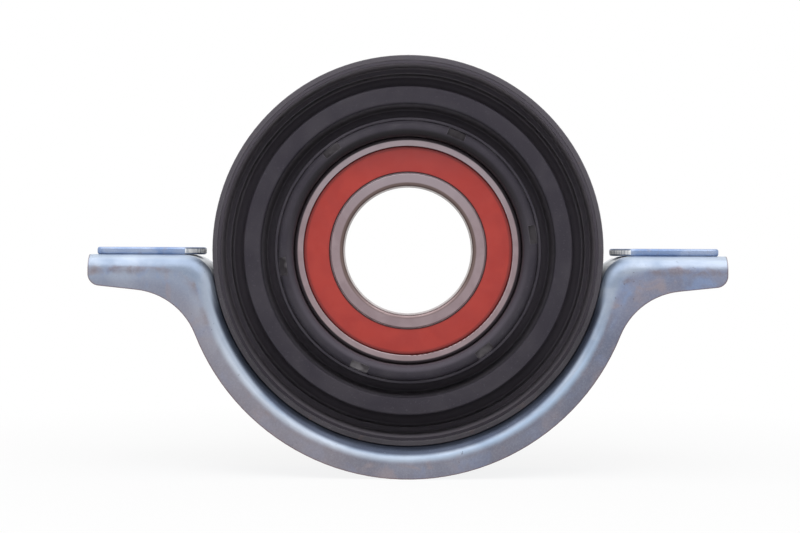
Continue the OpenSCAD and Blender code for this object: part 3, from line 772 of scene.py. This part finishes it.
def round_corners(plate, side):
    """Rounds the two upright corners at the outer end of a plate."""
    bpy.ops.object.mode_set(mode="EDIT")
    bpy.ops.mesh.select_mode(type="EDGE")
    bpy.ops.mesh.select_all(action="DESELECT")
    bpy.ops.object.mode_set(mode="OBJECT")
    for edge in plate.data.edges:
        ends = [plate.data.vertices[number].co for number in edge.vertices]
        upright = abs(ends[0].z - ends[1].z) > PLATE_THICK / 2
        edge.select = upright and all(side * end.x > PLATE_OUT - 0.01 * MM for end in ends)
    bpy.ops.object.mode_set(mode="EDIT")
    bpy.ops.mesh.bevel(offset=PLATE_CORNER, segments=6, affect="EDGES")
    bpy.ops.object.mode_set(mode="OBJECT")


def slot_cutter(side):
    """Round-ended bolt slot as a tall block."""
    begin()
    bpy.ops.mesh.primitive_cylinder_add(
        vertices=SLOT_SIDES,
        radius=SLOT_WIDTH / 2,
        depth=6 * PLATE_THICK,
        location=(side * SLOT_AT, 0, PLATE_LOW),
    )
    cutter = bpy.context.object
    bpy.ops.object.transform_apply(location=True)
    bpy.ops.object.mode_set(mode="EDIT")
    bpy.ops.mesh.select_mode(type="VERT")
    bpy.ops.mesh.select_all(action="DESELECT")
    bpy.ops.object.mode_set(mode="OBJECT")
    for vertex in cutter.data.vertices:
        vertex.select = vertex.co.x > side * SLOT_AT
    bpy.ops.object.mode_set(mode="EDIT")
    half = (SLOT_LENGTH - SLOT_WIDTH) / 2
    bpy.ops.transform.translate(value=(half, 0, 0))
    bpy.ops.mesh.select_all(action="INVERT")
    bpy.ops.transform.translate(value=(-half, 0, 0))
    bpy.ops.object.mode_set(mode="OBJECT")
    return cutter


def white_studio():
    """White where seen, brighter to the sides in what metal mirrors, with an even soft light."""
    world = bpy.data.worlds.new("white_studio")
    bpy.context.scene.world = world
    world.use_nodes = True
    tree = world.node_tree
    tree.nodes.clear()
    output = tree.nodes.new("ShaderNodeOutputWorld")
    mix = tree.nodes.new("ShaderNodeMixShader")
    soft = tree.nodes.new("ShaderNodeBackground")
    soft.inputs["Color"].default_value = (1, 1, 1, 1)
    soft.inputs["Strength"].default_value = AMBIENT
    seen = tree.nodes.new("ShaderNodeBackground")
    seen.inputs["Color"].default_value = (1, 1, 1, 1)
    tree.links.new(mirrored_light(tree), seen.inputs["Strength"])
    tree.links.new(seen_rays(tree), mix.inputs[0])
    tree.links.new(soft.outputs[0], mix.inputs[1])
    tree.links.new(seen.outputs[0], mix.inputs[2])
    tree.links.new(mix.outputs[0], output.inputs["Surface"])


def mirrored_light(tree):
    """1 for the camera and straight ahead, SIDE_LIGHT in reflections of what lies to the sides."""
    direction = tree.nodes.new("ShaderNodeTexCoord")
    ahead = tree.nodes.new("ShaderNodeVectorMath")
    ahead.operation = "DOT_PRODUCT"
    tree.links.new(direction.outputs["Generated"], ahead.inputs[0])
    ahead.inputs[1].default_value = (0, -1, 0)
    side = tree.nodes.new("ShaderNodeMapRange")
    side.interpolation_type = "SMOOTHSTEP"
    tree.links.new(ahead.outputs["Value"], side.inputs["Value"])
    side.inputs["From Min"].default_value = SIDE_START
    side.inputs["From Max"].default_value = SIDE_END
    side.inputs["To Min"].default_value = 0
    side.inputs["To Max"].default_value = SIDE_LIGHT - 1
    path = tree.nodes.new("ShaderNodeLightPath")
    mirrored = tree.nodes.new("ShaderNodeMath")
    mirrored.operation = "MULTIPLY_ADD"
    tree.links.new(side.outputs["Result"], mirrored.inputs[0])
    tree.links.new(path.outputs["Is Glossy Ray"], mirrored.inputs[1])
    mirrored.inputs[2].default_value = 1
    return mirrored.outputs["Value"]


def seen_rays(tree):
    """1 for what the camera sees, straight on, in a reflection or through something clear."""
    path = tree.nodes.new("ShaderNodeLightPath")
    total = path.outputs["Is Camera Ray"]
    for name in ("Is Glossy Ray", "Is Transmission Ray"):
        either = tree.nodes.new("ShaderNodeMath")
        either.operation = "MAXIMUM"
        tree.links.new(total, either.inputs[0])
        tree.links.new(path.outputs[name], either.inputs[1])
        total = either.outputs[0]
    return total


def pale_floor():
    """White floor under the part; far off it turns into the white of the studio."""
    begin()
    bpy.ops.mesh.primitive_plane_add(size=FLOOR_SIZE, location=(0, 0, cad_box[0][2]))
    floor = bpy.context.object
    floor.name = "floor"
    bpy.ops.object.transform_apply(location=True)
    finish = Finish("floor_white", 0.9, 0.0)
    finish.shader.inputs["Base Color"].default_value = (0.9, 0.9, 0.9, 1)
    finish.shader.inputs["Specular IOR Level"].default_value = 0.0
    distance = finish.add("ShaderNodeVectorMath", operation="LENGTH")
    finish.feed(distance.inputs[0], finish.place)
    far = finish.fade(distance.outputs["Value"], FLOOR_NEAR, FLOOR_FAR, FLOOR_GLOW, 1.0)
    glow = finish.add("ShaderNodeEmission")
    mix = finish.add("ShaderNodeMixShader")
    finish.feed(mix.inputs[0], finish.times(far, seen_rays(finish.tree)))
    finish.feed(mix.inputs[1], finish.shader.outputs["BSDF"])
    finish.feed(mix.inputs[2], glow.outputs["Emission"])
    finish.feed(finish.tree.nodes["Material Output"].inputs["Surface"], mix.outputs[0])
    floor.data.materials.append(finish.material)


def soft_lamp(name, place, width, height, power, mirrored=True):
    """Large soft lamp aimed at the bearing; mirrored is whether bright metal reflects it."""
    lamp = bpy.data.lights.new(name, "AREA")
    lamp.shape = "RECTANGLE"
    lamp.size = width
    lamp.size_y = height
    lamp.energy = power
    holder = bpy.data.objects.new(name, lamp)
    holder.location = place
    holder.rotation_euler = (-Vector(place)).to_track_quat("-Z", "Y").to_euler()
    holder.visible_glossy = mirrored
    bpy.context.scene.collection.objects.link(holder)


def photo_camera():
    """Camera straight in front of the bearing, as in the photograph."""
    camera = bpy.data.cameras.new("photo_camera")
    camera.lens = CAMERA_LENS
    camera.sensor_width = CAMERA_SENSOR
    camera.shift_x, camera.shift_y = CAMERA_SHIFT
    holder = bpy.data.objects.new("photo_camera", camera)
    holder.location = (0, -CAMERA_DISTANCE, 0)
    holder.rotation_euler = (math.radians(90), math.radians(CAMERA_ROLL), 0)
    bpy.context.scene.collection.objects.link(holder)
    bpy.context.scene.camera = holder


strap_zinc = strap_finish()
plate_zinc = plate_finish()
race_steel = race_finish()
ball_steel = steel_finish(
    "ball_steel", display(170, 168, 170), display(190, 188, 190), 0.14, 0.6 * MM
)
cage_steel = steel_finish(
    "cage_steel", display(120, 116, 112), display(150, 144, 138), 0.4, 0.3 * MM
)
sleeve_steel = sleeve_finish()
rubber = rubber_finish()

dress(strap_zinc, "bracket")
dress(shell_finish(), "outer_shell")
dress(sleeve_steel, "inner_sleeve")
dress(race_steel, "outer_race", "inner_race")
dress(seal_finish(), "seal_front", "seal_rear")
dress(cage_steel, "cage_front", "cage_rear", "cage_rivets")
dress(ball_steel, *[name for name in cad_nodes if name.startswith("ball_")])

build_bellows(rubber)
build_flash(rubber)
for side in (-1, 1):
    build_ear_plate(side, plate_zinc)

white_studio()
pale_floor()
soft_lamp("overhead", (-0.1, -0.4, 0.85), width=1.6, height=1.2, power=7.5)
soft_lamp("key", (0.05, -0.65, 0.65), width=0.6, height=0.6, power=3.6, mirrored=False)
soft_lamp("front", (0, -0.9, 0.05), width=0.4, height=0.4, power=1.5, mirrored=False)
photo_camera()
bpy.context.scene.view_settings.view_transform = "Standard"
